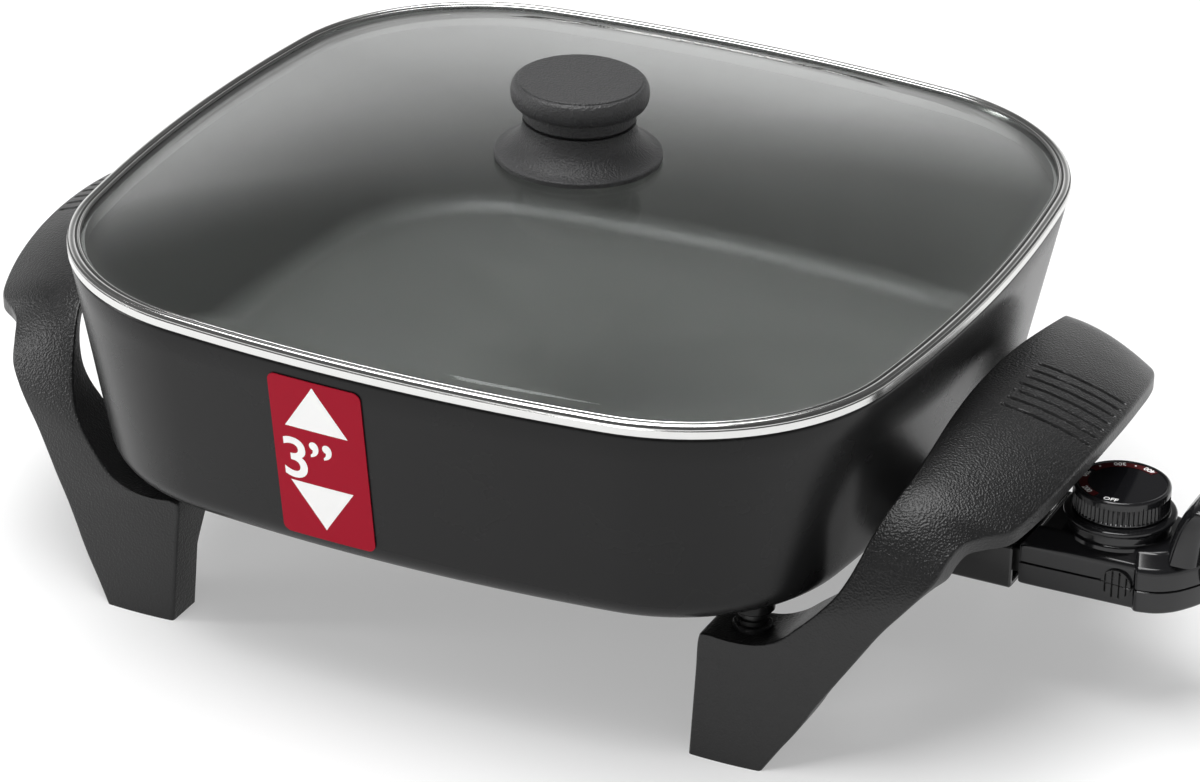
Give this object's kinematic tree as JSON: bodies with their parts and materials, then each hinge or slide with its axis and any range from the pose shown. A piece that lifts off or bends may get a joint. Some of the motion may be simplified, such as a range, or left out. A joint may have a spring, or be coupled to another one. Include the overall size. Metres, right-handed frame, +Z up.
{
  "type": "electric skillet",
  "caption": "Deep square electric skillet with domed glass lid, leg-and-grip handles and a plug-in heat control with a probe.",
  "frame": {"origin": "middle of the whole outline seen from above, at table level", "axes": "+X points from the pan to the plug-in control, -Y to the front wall that carries the label, +Z up"},
  "size_m": [0.466, 0.32, 0.1879],
  "materials": {
    "pan_coat": "satin black non-stick coating on die-cast aluminium",
    "phenolic": "black moulded phenolic with a fine pebbled grain",
    "knob_phenolic": "black phenolic with a coarse matt pebble",
    "bright_steel": "bright polished stainless steel",
    "lid_glass": "clear tempered glass",
    "gloss_black": "gloss black thermoset",
    "silicone": "black heat-resistant rubber",
    "element_sheath": "heat-dulled steel sheath",
    "ceramic": "unglazed steatite ceramic",
    "brass": "bare brass",
    "label_red": "dark red satin label film"
  },
  "bodies": {
    "base": {"depth_label": "label_red", "heating_element": "element_sheath", "left_handle": "phenolic", "pan": "pan_coat", "post_screw_left_front": "bright_steel", "post_screw_left_rear": "bright_steel", "post_screw_right_front": "bright_steel", "post_screw_right_rear": "bright_steel", "post_spacer_left_front": "phenolic", "post_spacer_left_rear": "phenolic", "post_spacer_right_front": "phenolic", "post_spacer_right_rear": "phenolic", "probe_sleeve": "bright_steel", "right_handle": "phenolic", "shroud_screw_front": "bright_steel", "shroud_screw_rear": "bright_steel", "socket_shroud": "phenolic", "terminal_bead_front": "ceramic", "terminal_bead_rear": "ceramic", "terminal_pin_front": "brass", "terminal_pin_rear": "brass"},
    "lid": {"knob_base": "knob_phenolic", "knob_gasket": "silicone", "knob_screw": "bright_steel", "knob_top": "knob_phenolic", "knob_washer": "bright_steel", "lid_glass": "lid_glass", "lid_rim": "bright_steel"},
    "control": {"bimetal_blade": "brass", "case_screw_front": "bright_steel", "case_screw_rear": "bright_steel", "control_lower_case": "gloss_black", "control_upper_case": "gloss_black", "cord_gland": "silicone", "finger_pad_front": "gloss_black", "finger_pad_rear": "gloss_black", "nose_block": "phenolic", "probe_rod": "bright_steel", "socket_contact_front": "brass", "socket_contact_rear": "brass", "switch_base": "ceramic"},
    "dial": {"dial": "gloss_black", "dial_face": "gloss_black", "dial_shaft": "bright_steel"}
  },
  "joints": [
    {"name": "lid_lift", "type": "slide", "parent": "base", "child": "lid", "axis": [0, 0, 1], "range_m": [0, 0.15]},
    {"name": "control_unplug", "type": "slide", "parent": "base", "child": "control", "axis": [1, 0, 0], "range_m": [0, 0.08]},
    {"name": "dial_turn", "type": "hinge", "parent": "control", "child": "dial", "pos_m": [0.186, 0, 0.069], "axis": [0, 0, -1], "range_deg": [0, 280]}
  ]
}
